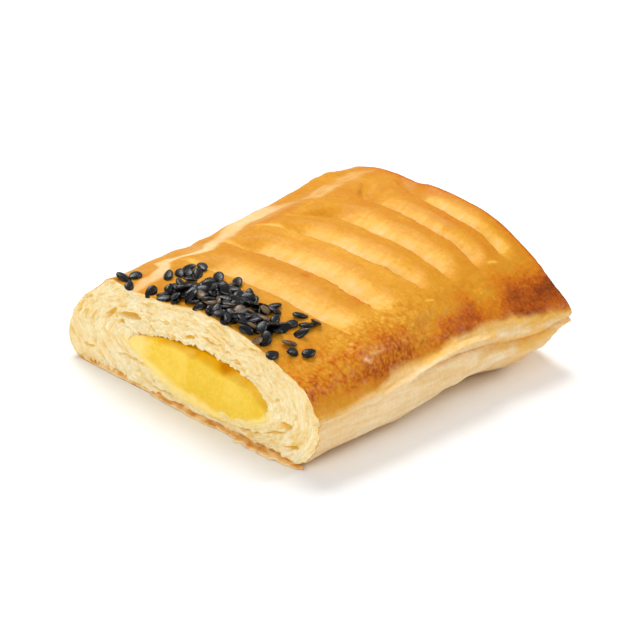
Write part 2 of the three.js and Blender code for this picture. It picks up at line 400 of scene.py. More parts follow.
# Pale flecks in the browned margin: place, half lengths and angle
PALE_FLECKS = [
    ((22.5, 5.0), (0.4, 1.7), -15),
    ((20.2, 28.0), (0.5, 1.9), -12),
    ((29.0, -21.0), (0.4, 1.8), -20),
]


def toasted_foot(bake, x, y, z):
    """The given bake, kept from 0 to 1, with the foot and the underside toasted."""
    foot = fade(0.8, 2.4 + 0.8 * noise(x / 4, y / 4, seed=36), z)
    return np.clip(mix(bake, 0.40 + 0.14 * fractal(x / 3, y / 3, 0.0, 3, seed=37), foot * 0.8), 0, 1)


def browned_margin(x, y, z):
    """From 0 to 1 how far each place lies in the browned margin along the sealed side, and how far
    the margin is baked there."""
    inner = 22.8 - 1.8 * smooth(0, 30, y) - 1.4 * smooth(28, 40, -y)
    inner = inner + 0.8 * noise(y / 5, 0.0, seed=32) + 0.6 * noise(y / 1.8, 0.0, seed=33)
    inner = inner + 2.6 * hump(y, -3, 13) + 0.8 * hump(y, -19, 6)
    near = fade(-22, -14, y)
    above = (z - 11 - 1.5 * near + 3 * smooth(5, 20, y)) / (2 + 2 * near)
    brown = smooth(inner - 1.8, inner + 4.6, x) * smooth(0, 1, above)
    patch = fractal(x / 3.2, y / 7, z / 4, 3, seed=34)
    along = 0.63 + 0.08 * smooth(-30, 0, y) + 0.12 * smooth(20, 27, y)
    along = along + 0.09 * hump(y, 9, 8) + 0.07 * hump(y, -11, 8) - 0.05 * hump(y, 18, 5)
    outer = smooth(1.5, 5.5, x - inner)
    return brown, along - 0.09 + 0.15 * outer + 0.17 * patch


def crust_bake(grid, place, masks):
    """0 for raw cream, through gold and amber, to 1 for dark brown."""
    x, y, z = axes(grid)
    mottle = 0.05 * fractal(x / 5, y / 5, z / 5, 3, seed=31)
    streak = np.maximum(0, fractal(x / 1.8, y / 5, 0.0, 2, seed=39))
    streak = streak + 0.8 * np.maximum(0, noise(x / 0.8, y / 2.4, seed=49))
    # pale streaks on the slash floors: streaks of pulled pastry and painted highlight
    mottle = mottle - 0.13 * masks["floor"] * (streak - 0.12)
    bake = 0.585 + mottle + 0.10 * masks["torn"]
    # paler on the floor of each slash, where the pastry is unglazed and a painted highlight brightens it
    # further, deeper on the crest before the next lip
    bake = bake - 0.25 * masks["floor"] * (1 - 0.25 * smooth(6, 34, y)) + masks["crest"]
    bake = bake + 0.07 * smooth(END_Y - 3.5, END_Y - 0.7, y) * masks["top"]
    shoulder = between(17, 20, 25, 28, x)
    bake = bake - shoulder * (0.08 * hump(y, -5, 13) + 0.06 * hump(y, -26, 7))
    bake = bake + 0.08 * spot(x, y, (-19.2, 6.0), (1.6, 8.0), 4)
    # seeded flat next to the cut
    seeded = fade(FIRST_LIP_Y - 4, FIRST_LIP_Y + 1, y) * masks["top"]
    bake = mix(bake, 0.60 + mottle, seeded * 0.9)
    # browned margin with pale flecks, and two darker blisters on the slats
    brown, margin_bake = browned_margin(x, y, z)
    bake = mix(bake, margin_bake, brown)
    fleck = 0.5 * brown * smooth(0.74, 0.9, noise(x / 0.6, y / 1.1, seed=40))
    for middle, size, angle in PALE_FLECKS:
        fleck = fleck + spot(x, y, middle, size, angle)
    bake = bake - 0.22 * np.clip(fleck, 0, 1)
    bake = bake + 0.11 * spot(x, y, (3.5, -12.0), (1.6, 1.1))
    bake = bake + 0.10 * spot(x, y, (-11.5, 25.0), (2.0, 0.8), -35)
    # thin brown edge at the open end
    bake = mix(bake, 0.8, 0.75 * smooth(END_Y - 1.1, END_Y - 0.1, y) * masks["top"])
    # folded side
    fold = smooth(18.7, 20.3, place + 0.25 * noise(y[:, :1] / 4, 0.0, seed=58))
    streaked = 0.12 * fractal(y / 8, z / 5, x / 9, 3, seed=47) + 0.06 * noise(y / 1.6, z / 4, seed=48)
    bake = mix(bake, mix(0.30, 0.48, smooth(4, 15, z)) + 0.06 * hump(z, 19, 3) + mottle + streaked, fold)
    bake = mix(bake, 0.12, fold * np.exp(-(y - CUT_Y) / 0.8))
    return toasted_foot(bake, x, y, z)


def pale_tone(grid, place):
    """How far the unglazed layers are toasted: the crease on top and the sealed side."""
    x, y, z = axes(grid)
    streaks = fractal(y / 7 + z / 5, z / 0.9, 0.0, 3, seed=35)
    under_edge = smooth(9.2, 10.5, place) * (0.75 + 0.25 * noise(y / 3, 0.0, seed=38))
    tone = 0.11 + 0.08 * smooth(12, 34, y) + 0.10 * streaks + 0.07 * under_edge
    tone = tone + 0.08 * smooth(9.7, 10.7, place)
    tone = tone + 0.07 * smooth(26, 36, -y) * smooth(8, 11, z)
    tone = tone + 0.14 * hump(y, -3, 12) * smooth(9.3, 10.0, place)
    tone = tone + 0.04 * between(-24, -18, 15, 20, y) * between(8.9, 9.4, 10.0, 10.6, place)
    tone = tone - 0.10 * hump(y, 27, 5) * smooth(9.8, 10.4, place)
    tone = tone + 0.10 * smooth(0.1, 0.5, fractal(y / 5, z / 2.2, 0.0, 2, seed=43)) * smooth(-25, 10, y)
    crease = 0.14 + 0.07 * smooth(14, 22, y)
    return toasted_foot(np.where(place < MIDDLE_OF_TOP, tone, crease), x, y, z)


# The brown edge of the top sheet above the sealed side: the place on the outline where it turns
# pale, along the bar
EDGE_Y = [-38, -34, -30, -22, -18, -15, -11, -8, -5, -2, 0, 4, 6, 9, 12, 17, 20, 23, 26, 29, 35, 38]
EDGE_PLACE = [10.6, 10.55, 10.6, 10.55, 10.85, 10.95, 10.85, 10.8, 10.55, 10.3, 10.2, 10.45, 10.5, 10.42,
              10.65, 10.75, 10.85, 11.05, 10.72, 10.7, 10.8, 10.5]


def sealed_side(grid, place):
    """1 on the pale layered side under the brown edge of the top sheet."""
    y = grid[..., 1]
    edge = np.interp(y, EDGE_Y, EDGE_PLACE) + 0.1 * noise(y / 1.6, 0.0, seed=41)
    soft = 0.3 + 0.12 * hump(y, -13, 6) + 0.1 * smooth(-6, 4, y)
    return fade(edge - soft, edge + soft, place) * (place > SEALED_SIDE_FROM)


# ---------------------------------------------------------------- tunnel, mouth and cut

def tunnel_at(y):
    """Sizes of the tunnel at stations y."""
    opened = smooth(END_Y - MOUTH_DEPTH, END_Y, y) ** 2
    return {key: mix(TUNNEL[key], MOUTH[key], opened) for key in TUNNEL}


def lens(y, angle, grow=0.0, lower=0.0):
    """Points of the tunnel wall. grow moves it outwards, and lower takes height off its roof."""
    t = tunnel_at(y)
    skew = 1 + TUNNEL_SKEW * np.cos(angle)
    turned = np.arctan2(np.sin(angle), np.cos(angle))
    grow = grow - 1.3 * hump(turned, -2.5, 0.6)
    rise = np.where(np.sin(angle) > 0, t["roof"] + grow - lower, t["floor"] + grow)
    x = t["x"] + (t["half"] + grow) * np.cos(angle)
    z = t["z"] + rise * skew * np.sin(angle)
    return x, z


def lens_angles(ring):
    """Angles round the tunnel's axis, in line with the points of an outer ring."""
    return np.arctan2((ring[:, 2] - TUNNEL["z"]) / (CROWN / 2), (ring[:, 0] - TUNNEL["x"]) / HALF_WIDTH)


def tunnel_ring(y, angle):
    """One ring of the tunnel wall, torn into small teeth next to the cut and uneven elsewhere."""
    u, v = np.cos(angle), np.sin(angle)
    near_cut = np.exp(-(y - CUT_Y) / 1.6)
    tooth = 0.5 * noise(u * 12, v * 12, seed=51) + 0.4 * noise(u * 30, v * 30, seed=52)
    uneven = 0.35 * noise(u * 2.2, v * 2.2, y / 5, seed=53)
    flare = 0.8 * smooth(END_Y - 6, END_Y, y) * noise(u * 3, v * 3, seed=54)
    rough = 0.45 * noise(u * 5, v * 5, seed=55) + 0.25 * noise(u * 16, v * 16, seed=56)
    torn = smooth(0.05, 0.5, v) * tooth + fade(-0.1, 0.2, v) * rough
    x, z = lens(y, angle, grow=0.15 - near_cut * torn + 0.5 * uneven + flare)
    return np.stack([x, np.full_like(x, y), z], axis=-1)


# How far the crumb sinks towards the lower rim of the tunnel at the cut
DISHED = 0.35

# Gaps between layers at the cut: x, z, half length, half height, tilt and depth
CUT_SLOTS = [
    (-18.2, 14.5, 3.2, 0.55, 11, 1.5),
    (-23.6, 13.3, 2.5, 0.50, 50, 1.2),
    (2.6, 17.6, 2.8, 0.30, -2, 0.9),
    (-2.6, 16.3, 2.0, 0.28, 8, 0.8),
    (24.4, 7.5, 2.0, 0.70, 12, 1.4),
    (-17.2, 5.6, 3.6, 0.18, 0, 0.7),
    (-28.4, 3.7, 1.6, 0.30, 6, 0.7),
    (-20.4, 12.3, 1.7, 0.20, 12, 0.6),
    (21.6, 12.2, 1.7, 0.22, 14, 0.6),
    (13.8, 20.2, 1.4, 0.22, 8, 0.5),
    (22.0, 5.0, 3.6, 0.20, 22, 0.8),
    (26.6, 3.6, 3.0, 0.22, 18, 0.8),
    (16.0, 2.8, 3.4, 0.18, 10, 0.7),
    (7.0, 1.9, 3.4, 0.16, 4, 0.6),
    (-8.0, 1.8, 4.0, 0.14, 0, 0.5),
]


def cut_relief(x, z, layer, loop):
    """How far the cut surface lies behind its plane, and from 0 to 1 how deep it is in a gap, with
    painted shade in its cracks and pores added. loop holds two coordinates that run round the ring and
    close, and layer runs outwards."""
    u, v = loop
    gap = np.zeros_like(x)
    recess = np.zeros_like(x)
    bent_x = x + 0.5 * noise(x / 1.5, z / 1.5, seed=61)
    bent_z = z + 0.25 * noise(x / 1.1, z / 1.1, seed=62)
    for cx, cz, half, height, tilt, depth in CUT_SLOTS:
        here = spot(bent_x, bent_z, (cx, cz), (half, height * 1.5), tilt)
        gap = np.maximum(gap, here)
        recess = np.maximum(recess, here * depth)
    leaf = fractal(u / 4.5, layer * 1.15, v / 4.5, 2, seed=63)
    fibre = noise(u / 1.1, layer * 2.3, v / 1.1, seed=64)
    lumps = fractal(x / 3, z / 3, 0.0, 3, seed=65)
    crack = smooth(0.28, 0.56, fractal(u / 2.7, layer * 1.05, v / 2.7, 2, seed=66))
    crack = crack * (1 - 0.7 * smooth(12, 19, x) * smooth(4, 7, z))
    strand = fractal(u / 1.9 + layer / 3, layer * 1.5, v / 1.9, 3, seed=67)
    pore = smooth(0.35, 0.75, noise(x / 0.75, z / 0.6, seed=68)) * (0.5 + 0.5 * smooth(-0.2, 0.3, lumps))
    recess = recess + 0.24 * (1 - leaf) + 0.2 * fibre + 0.16 * lumps
    recess = recess + 0.44 * crack - 0.28 * strand + 0.22 * pore
    # painted shade: cracks, torn strands, leaves and pores darken towards the gap colour
    shade = 0.6 * crack + 0.3 * np.maximum(0, -strand) + 0.15 * np.maximum(0, -leaf) + 0.22 * pore
    return recess, np.clip(gap + shade, 0, 1)


def crust_crackle(crust):
    """How far the glaze has crazed into small brown cells, towards the sealed side."""
    x, y, z = axes(crust)
    uneven_x = x + 1.5 * noise(x / 4, y / 4, seed=57)
    crackle = (0.4 * smooth(13, 19, uneven_x) + 0.6 * smooth(19, 23, uneven_x)) * smooth(14, 16, z)
    return crackle * (1 - 0.9 * smooth(-8, 14, y))


def crust_glaze(crust, place, masks, crease):
    """How much egg glaze is on the crust: on the top and the fold, and not on the sealed side."""
    x, y, z = axes(crust)
    shown = masks["top"] * mix(0.5, 1.0, smooth(FIRST_LIP_Y - 3, FIRST_LIP_Y + 1, y))
    fold = (place > FOLD_FROM) * smooth(6, 13, z)
    top_edge = smooth(SEALED_SIDE_TO, SEALED_SIDE_TO + 0.6, place) * (place < TOP_EDGE_TO)
    glaze = np.clip(np.maximum(np.maximum(shown, fold), top_edge), 0, 1)
    glaze = glaze * (1 - crease)
    glaze = glaze * (1 - 0.8 * masks["margin"] * smooth(6, 18, y))
    # one wet-looking patch in the margin
    return glaze + 6.0 * spot(x, y, (28.0, -20.0), (2.8, 5.2), 6)


def tunnel_wall(turn, far_turn):
    """Rings of the tunnel from the open end to the cut, for the angles of the outline's points
    round it at the cut and at the open end."""
    blend = smooth(END_Y - MOUTH_DEPTH, END_Y, np.linspace(END_Y, CUT_Y, TUNNEL_RINGS))
    angles = [mix(turn, far_turn, far) for far in blend]
    tunnel = np.array([tunnel_ring(y, angle) for y, angle in zip(tunnel_stations(), angles)])
    tunnel[-1, :, 1] += DISHED * fade(8.5, 10.5, tunnel[-1, :, 2])
    return tunnel


def baked_pastry():
    """The wrapped sheet as one closed mesh: crust, mouth at the open end, tunnel and cut."""
    crust, place, masks = outside()
    turn = np.unwrap(lens_angles(crust[0]))
    tunnel = tunnel_wall(turn, np.unwrap(lens_angles(crust[-1])))
    mouth, mouth_gap, mouth_layer = face_rings(crust[-1], tunnel[0], MOUTH_RINGS, far=True)
    cut, cut_gap, cut_layer = face_rings(tunnel[-1], crust[0], CUT_RINGS, far=False)

    into = (np.arange(CUT_RINGS) + 1)[:, None] / (CUT_RINGS + 1)
    wall = np.linalg.norm((tunnel[-1] - crust[0])[:, [0, 2]], axis=1)[None, :]
    crease = crease_mask(crust[..., 0], crust[..., 1], place)
    stain = fade(0.4, 2.6, wall * into) * fade(-0.3, 0.3, np.sin(turn))[None, :]
    # the value of each attribute on the crust, the mouth, the tunnel and the cut
    bands = (crust, mouth, tunnel, cut)
    by_band = dict(
        bake=(
            crust_bake(crust, place, masks),
            mouth_bake(mouth, mouth_gap),
            tunnel_bake(tunnel),
            cut_bake(cut, wall * (1 - into)),
        ),
        glaze=(crust_glaze(crust, place, masks, crease), 0, 0, 0),
        # gap: deep yellow of the gaps between layers, with painted shade in cracks and pores
        gap=(0, 0.3 * mouth_gap, 0, cut_gap),
        stain=(0, 0, 0, stain),
        crackle=(crust_crackle(crust), 0, 0, 0),
        pale=(sealed_side(crust, place) + crease, 0, 0, 0),
        tone=(pale_tone(crust, place), 0, 0, 0),
    )
    attributes = {}
    for key, values in by_band.items():
        spread = [np.broadcast_to(value, band.shape[:2]) for value, band in zip(values, bands)]
        attributes[key] = np.concatenate(spread)

    grid = np.concatenate(bands)
    rings, around = grid.shape[:2]
    made = new_object(
        "baked_pastry",
        grid.reshape(-1, 3),
        ring_faces(rings, around, closed=True),
        attributes,
        [crust_material(), crumb_material()],
        layer=np.concatenate([crust, mouth_layer, tunnel, cut_layer]).reshape(-1, 3),
        material_index=np.repeat(np.arange(rings) >= len(crust) - 1, around),
    )
    sharpen(made, around, [0, rings - len(cut) - 1])
    return made


def tunnel_stations():
    """Stations of the tunnel from the open end to the cut, closer together at both ends."""
    t = np.linspace(0, 1, TUNNEL_RINGS)
    eased = t - 0.14 * np.sin(2 * math.pi * t)
    return mix(END_Y - 0.4, CUT_Y + 0.05, eased)


def face_rings(first, last, count, far):
    """Rings between two given ones, which they leave out, with the relief of torn layers: their
    points, how deep each is in a gap with painted shade in cracks and pores added, and its coordinates
    along and across the layers. far is set for the mouth at the open end."""
    t = (np.arange(count) + 1)[:, None] / (count + 1)
    rings = first[None] + (last - first)[None] * t[..., None]
    x, y, z = axes(rings)
    width = np.linalg.norm((last - first)[:, [0, 2]], axis=1)[None, :]
    layer = (t if not far else 1 - t) * width
    middle = (first + last) / 2
    steps = np.linalg.norm(np.diff(middle[:, [0, 2]], axis=0, prepend=middle[-1:, [0, 2]]), axis=1)
    radius = steps.sum() / (2 * math.pi)
    turn = (np.cumsum(steps) / radius)[None, :] + 0 * t
    loop = radius * np.cos(turn), radius * np.sin(turn)
    recess, gap = cut_relief(x, z, layer, loop)
    if far:
        edge = between(0, 0.12, 0.88, 1, t)
        lip = 2.6 * smooth(8, 16, z) * np.sin(math.pi * t) + 1.5 * recess
        y = y - edge * (0.6 * lip + 0.8 * recess)
    else:
        under = fade(8.5, 10.5, first[:, 2])[None, :]
        edge = between(0, mix(0.06, 0.3, under), 0.965, 1, t)
        sunk = DISHED * under * (t - smooth(0, 1.8, layer))
        y = np.maximum(CUT_Y, y + edge * recess + sunk)
    return np.stack([x, y, z], axis=-1), gap, np.stack([loop[0], layer, loop[1]], axis=-1)


def cut_bake(cut, outer):
    """Cream, brown along the bottom crust and toasted at its skin. outer is the distance to it."""
    x, _, z = axes(cut)
    right = 0.02 * smooth(8, 20, x) * fade(14, 18, z)
    corner = 0.03 * smooth(20, 27, x) * fade(8, 12, z)
    bake = 0.03 + right - corner + 0.03 * fractal(x / 4, z / 4, 0.0, 3, seed=71)
    thick = 0.62 + 0.16 * smooth(5, 22, x)
    thick = thick + 0.2 * noise(x / 2.6, 0.0, seed=72) + 0.12 * noise(x / 0.9, z, seed=73)
    bottom = fade(thick * 0.5, thick * 1.3, z)
    bake = mix(bake, 0.46 + 0.08 * noise(x / 2.2, z / 0.5, seed=74), 0.9 * bottom)
    skin = fade(0.15, 0.6, outer) * smooth(3, 8, z) * smooth(-26, -8, x)
    bake = mix(bake, 0.34 + 0.1 * noise(x / 1.5, z / 1.5, seed=77), 0.8 * skin)
    return np.clip(bake, 0, 1)


def mouth_bake(mouth, gap):
    """Pale layers with toasted tips at the open end, and burnt spots near the sealed corner."""
    x, _, z = axes(mouth)
    # darker in the gaps between layers, and painted shade in their cracks and pores
    bake = 0.24 + 0.12 * fractal(x / 3, z / 1.2, 0.0, 3, seed=75) + 0.2 * gap
    burnt = spot(x, z, (27.5, 8.0), (3.2, 2.2)) + spot(x, z, (25.5, 3.4), (3.5, 1.8))
    bake = mix(bake, 0.95, np.clip(burnt, 0, 1) * smooth(-0.4, 0.3, noise(x, z, seed=76)))
    bake = mix(bake, 0.5, fade(0.4, 1.4, z))
    return np.clip(bake, 0, 1)


def tunnel_bake(tunnel):
    """Cream at the cut, moist and yellow inside, toasted at the open end."""
    y = tunnel[..., 1]
    return np.clip(0.10 + 0.22 * smooth(CUT_Y, CUT_Y + 5, y) + 0.2 * smooth(END_Y - 8, END_Y, y), 0, 1)


# ---------------------------------------------------------------- meshes

def new_object(name, points, faces, attributes, materials, layer=None, material_index=None):
    """A smooth-shaded mesh object in metres with its float attributes."""
    mesh = bpy.data.meshes.new(name)
    mesh.from_pydata((np.asarray(points) * MM).tolist(), [], faces)
    mesh.update()
    for key, values in attributes.items():
        made = mesh.attributes.new(key, "FLOAT", "POINT")
        made.data.foreach_set("value", np.asarray(values, np.float32).ravel())
    if layer is not None:
        made = mesh.attributes.new("layer", "FLOAT_VECTOR", "POINT")
        made.data.foreach_set("vector", np.asarray(layer, np.float32).ravel())
    for material in materials:
        mesh.materials.append(material)
    if material_index is not None:
        mesh.polygons.foreach_set("material_index", np.asarray(material_index, np.int32))
    mesh.polygons.foreach_set("use_smooth", np.ones(len(mesh.polygons), bool))
    mesh.update()
    made = bpy.data.objects.new(name, mesh)
    bpy.context.scene.collection.objects.link(made)
    return made


def ring_faces(rings, around, closed):
    """Quads between neighbouring rings, facing outwards on rings that run like the outline."""
    i = np.arange(rings if closed else rings - 1)[:, None]
    j = np.arange(around)[None, :]
    i2, j2 = (i + 1) % rings, (j + 1) % around
    corners = (i * around + j, i2 * around + j, i2 * around + j2, i * around + j2)
    return np.stack(np.broadcast_arrays(*corners), axis=-1).reshape(-1, 4).tolist()


def sharpen(made, around, rings):
    """Marks the edges along some rings of an object as sharp."""
    edges = made.data.edges
    ends = np.empty(2 * len(edges), np.int32)
    edges.foreach_get("vertices", ends)
    ring = ends.reshape(-1, 2) // around
    edges.foreach_set("use_edge_sharp", (ring[:, 0] == ring[:, 1]) & np.isin(ring[:, 0], rings))


# ---------------------------------------------------------------- filling

FILLING_AROUND = 260
FILLING_RINGS = 150
CUT_FACE_RINGS = 34
BAKED_FACE_RINGS = 20
SEATED = 2.0
AIR_GAP = 0.6
AIR_GAP_DEPTH = 26.0


def filling_ring(y, angle):
    """One ring of the filling's side: seated in the tunnel, with a low free gap under its roof that
    closes towards the middle of the bar, and sloped back where it is baked in the mouth."""
    into = y - FILLING_CUT_Y
    top = smooth(-0.1, 0.6, np.sin(angle))
    edge = 0.12 * np.exp(-into / 0.3)
    across = np.cos(angle)
    lumps = 0.28 * noise(across * 4, y / 4, seed=81) + 0.12 * noise(across * 12, y / 1.4, seed=82)
    seated = SEATED * np.exp(-into / 4) * (1 - top)
    free = AIR_GAP * fade(0, AIR_GAP_DEPTH, END_Y - np.abs(y))
    x, z = lens(y, angle, grow=0.2 + seated - 0.3 * top - edge + top * lumps, lower=free)
    height = np.clip((z - MOUTH["z"] + MOUTH["floor"]) / MOUTH["roof"], 0, 1)
    ramp = 3.4 * height * smooth(END_Y - MOUTH_DEPTH, END_Y, y)
    return np.stack([x, y - ramp, z], axis=-1)


def tunnel_roof(x):
    """Height of the tunnel's roof at the cut."""
    share = (x - TUNNEL["x"]) / TUNNEL["half"]
    return TUNNEL["z"] + TUNNEL["roof"] * np.sqrt(np.maximum(0, 1 - share**2))


def cut_relief_of_filling(x, z, inwards):
    """How far the face that the knife left stands back from its rim, which is at 0 inwards."""
    face = 0.16 * fractal(x / 3.5, z / 3.5, 0.0, 3, seed=83) + 0.06 * noise(x / 0.8 + z, z / 0.8, seed=84)
    under_roof = smooth(-3.0, -0.9, z - tunnel_roof(x) + 0.5 * noise(x / 2.2, 1.0, seed=86))
    flush = 0.24 * fade(8.5, 10.5, z)
    flush = flush + 0.1 * noise(x / 1.3, z / 1.3, seed=91) * fade(9, 11, z)
    return -0.3 - flush + 0.7 * face * smooth(0, 0.12, inwards) + 1.9 * under_roof * smooth(-13, -8, x)


def baked_relief_of_filling(x, z, inwards):
    """How far the baked face in the mouth stands out from its rim."""
    return 0.5 * fractal(x / 3, z / 3, 0.0, 3, seed=85) * smooth(0, 0.2, inwards)


def face_of_filling(ring, count, relief):
    """Rings that fill the inside of a ring, with the relief of the face along Y."""
    centre = ring.mean(axis=0)
    rings = []
    for t in np.linspace(1, 0, count + 1)[1:]:
        points = centre + (ring - centre) * max(t, 0.004)
        points[:, 1] += relief(points[:, 0], points[:, 2], 1 - t)
        rings.append(points)
    return rings


def filling_shades(grid, angle, at_cut, cut_ring):
    """How far the filling is baked, deep yellow as painted shade under the roof at the cut and on
    its top inside the tunnel, pale like the rim that dried on the cut, and scorched in one place there."""
    x, y, z = axes(grid)
    shaded = 2.2 + 1.3 * hump(x, 4, 14) - 1.2 * smooth(10, 15, x) + 0.9 * noise(x / 2.5, 1.0, seed=87)
    # painted shade: the filling turns deep yellow in a band under the tunnel's roof at the cut
    gap = at_cut * fade(0.4 * shaded, shaded, tunnel_roof(x) - z)
    bake = np.clip(smooth(END_Y - 13, END_Y - 1, y) * (0.6 + 0.5 * smooth(8, 15, z)), 0, 1)
    # painted shade: deep yellow on the filling's top inside the tunnel, under its roof
    shaded_top = (1 - at_cut) * smooth(0.1, 0.5, np.sin(angle)) * (1 - bake)
    inside = np.linalg.norm((grid - cut_ring)[..., [0, 2]], axis=2) - SEATED
    soft = 0.8 + 1.9 * hump(angle, -2.5, 0.9)
    rim = fade(-0.4, soft + 0.4, inside + 0.5 * noise(x / 1.6, z / 1.6, seed=90))
    rim = at_cut * rim * fade(-0.3, 0.1, np.sin(angle))
    tip = fade(-15.8, -11.8, x + 0.8 * noise(x / 1.5, z / 1.5, seed=92))
    rim = np.maximum(rim, 0.85 * at_cut * tip)
    bent_x = x + 0.6 * noise(x, z, seed=88)
    bent_z = z + 0.4 * noise(x, 0.0, seed=89)
    scorch = at_cut * spot(bent_x, bent_z, (6.8, 13.7), (3.9, 2.5), -10)
    return dict(bake=bake, gap=np.clip(gap + shaded_top, 0, 1), rim=rim, scorch=scorch)


def sweet_potato_filling():
    """The filling that runs through the bar: smooth at the cut, sloped and baked at the mouth."""
    angle = np.linspace(-math.pi, math.pi, FILLING_AROUND, endpoint=False)
    stations = np.linspace(FILLING_CUT_Y + 0.4, END_Y - 1.0, FILLING_RINGS)
    body = np.array([filling_ring(y, angle) for y in stations])
    front = face_of_filling(body[0], CUT_FACE_RINGS, cut_relief_of_filling)[::-1]
    back = face_of_filling(body[-1], BAKED_FACE_RINGS, baked_relief_of_filling)
    grid = np.concatenate([np.array(front), body, np.array(back)])
    rings, around = grid.shape[:2]
    faces = ring_faces(rings, around, closed=False)
    faces.append(list(range(around)))
    faces.append([(rings - 1) * around + j for j in range(around)][::-1])
    at_cut = np.zeros((rings, around))
    at_cut[: len(front) + 1] = 1
    shades = filling_shades(grid, angle, at_cut, grid[len(front)])
    made = new_object("sweet_potato_filling", grid.reshape(-1, 3), faces, shades, [filling_material()])
    sharpen(made, around, [len(front)])
    return made


# ---------------------------------------------------------------- materials

def srgb(r, g, b):
    """A display colour given from 0 to 255 as linear red, green, blue and alpha."""
    linear = [((c / 255 + 0.055) / 1.055) ** 2.4 if c > 10 else c / 255 / 12.92 for c in (r, g, b)]
    return (*linear, 1.0)


class Nodes:
    """A new material and short calls for building its nodes."""

    def __init__(self, name):
        self.material = bpy.data.materials.new(name)
        self.material.use_nodes = True
        self.tree = self.material.node_tree
        self.tree.nodes.clear()
        self.place = self.add("ShaderNodeTexCoord").outputs["Object"]

    def add(self, kind, **settings):
        node = self.tree.nodes.new(kind)
        for key, value in settings.items():
            setattr(node, key, value)
        return node

    def fill(self, socket, value):
        """Links a socket, or sets a plain value."""
        if isinstance(value, bpy.types.NodeSocket):
            self.tree.links.new(value, socket)
        else:
            socket.default_value = value

    def attribute(self, name, output="Fac"):
        return self.add("ShaderNodeAttribute", attribute_name=name).outputs[output]

    def maths(self, operation, a, b, clamp=False):
        node = self.add("ShaderNodeMath", operation=operation, use_clamp=clamp)
        self.fill(node.inputs[0], a)
        self.fill(node.inputs[1], b)
        return node.outputs[0]

    def product(self, a, b):
        return self.maths("MULTIPLY", a, b)

    def swing(self, value, amount, middle=0.5):
        """How far a value is above its middle, times an amount."""
        return self.product(self.maths("SUBTRACT", value, middle), amount)

    def total(self, first, *others, clamp=False):
        """The sum of the values, from 0 to 1 where clamp is set."""
        for other in others[:-1]:
            first = self.maths("ADD", first, other)
        return self.maths("ADD", first, others[-1], clamp)

    def noise(self, vector, scale, detail=3.0, roughness=0.55, distortion=0.0):
        node = self.add("ShaderNodeTexNoise")
        self.fill(node.inputs["Vector"], vector)
        settings = dict(Scale=scale, Detail=detail, Roughness=roughness, Distortion=distortion)
        for key, value in settings.items():
            node.inputs[key].default_value = value
        return node.outputs["Fac"]

    def cells(self, vector, scale, smoothness):
        node = self.add("ShaderNodeTexVoronoi", feature="SMOOTH_F1")
        self.fill(node.inputs["Vector"], vector)
        node.inputs["Scale"].default_value = scale
        node.inputs["Smoothness"].default_value = smoothness
        return node.outputs["Distance"]

    def scaled(self, vector, scale):
        node = self.add("ShaderNodeMapping")
        self.fill(node.inputs["Vector"], vector)
        node.inputs["Scale"].default_value = scale
        return node.outputs[0]

    def span(self, value, a, b, low, high, smoothly=False):
        """A value from a to b brought to lie from low to high."""
        node = self.add("ShaderNodeMapRange")
        node.interpolation_type = "SMOOTHSTEP" if smoothly else "LINEAR"
        for socket, v in zip(node.inputs[:5], (value, a, b, low, high)):
            self.fill(socket, v)
        return node.outputs[0]

    def ramp(self, factor, stops):
        node = self.add("ShaderNodeValToRGB")
        elements = node.color_ramp.elements
        while len(elements) < len(stops):
            elements.new(0.5)
        for element, (place, colour) in zip(elements, stops):
            element.position = place
            element.color = colour
        self.fill(node.inputs[0], factor)
        return node.outputs[0]

    def blend(self, factor, a, b):
        """Colour a where the factor is 0 and colour b where it is 1."""
        node = self.add("ShaderNodeMix", data_type="RGBA")
        self.fill(node.inputs[0], factor)
        self.fill(node.inputs[6], a)
        self.fill(node.inputs[7], b)
        return node.outputs[2]

    def relief(self, *layers):
        """Bumps one on top of the other, each given as height, strength and distance."""
        normal = None
        for height, strength, distance in layers:
            node = self.add("ShaderNodeBump")
            self.fill(node.inputs["Height"], height)
            self.fill(node.inputs["Strength"], strength)
            node.inputs["Distance"].default_value = distance * MM
            if normal is not None:
                self.fill(node.inputs["Normal"], normal)
            normal = node.outputs[0]
        return normal

    def finish(self, colour, roughness, normal, specular=0.5, coat=0.0, coat_roughness=0.2, subsurface=0.0):
        """Links everything to the surface and returns the material."""
        shader = self.add("ShaderNodeBsdfPrincipled")
        self.fill(shader.inputs["Base Color"], colour)
        self.fill(shader.inputs["Roughness"], roughness)
        self.fill(shader.inputs["Normal"], normal)
        shader.inputs["Specular IOR Level"].default_value = specular
        self.fill(shader.inputs["Coat Weight"], coat)
        shader.inputs["Coat Roughness"].default_value = coat_roughness
        if subsurface:
            shader.inputs["Subsurface Weight"].default_value = subsurface
            shader.inputs["Subsurface Radius"].default_value = (1.0, 0.6, 0.25)
            shader.inputs["Subsurface Scale"].default_value = 1.2 * MM
        output = self.add("ShaderNodeOutputMaterial")
        self.fill(output.inputs["Surface"], shader.outputs[0])
        return self.material


# Colours of pastry from raw cream to dark brown
BAKE_COLOURS = [
    (0.00, srgb(245, 227, 190)),
    (0.14, srgb(239, 204, 150)),
    (0.28, srgb(235, 187, 108)),
    (0.40, srgb(232, 177, 74)),
    (0.50, srgb(219, 154, 44)),
    (0.60, srgb(206, 138, 29)),
    (0.72, srgb(203, 118, 16)),
    (0.85, srgb(177, 86, 10)),
    (1.00, srgb(122, 50, 6)),
]


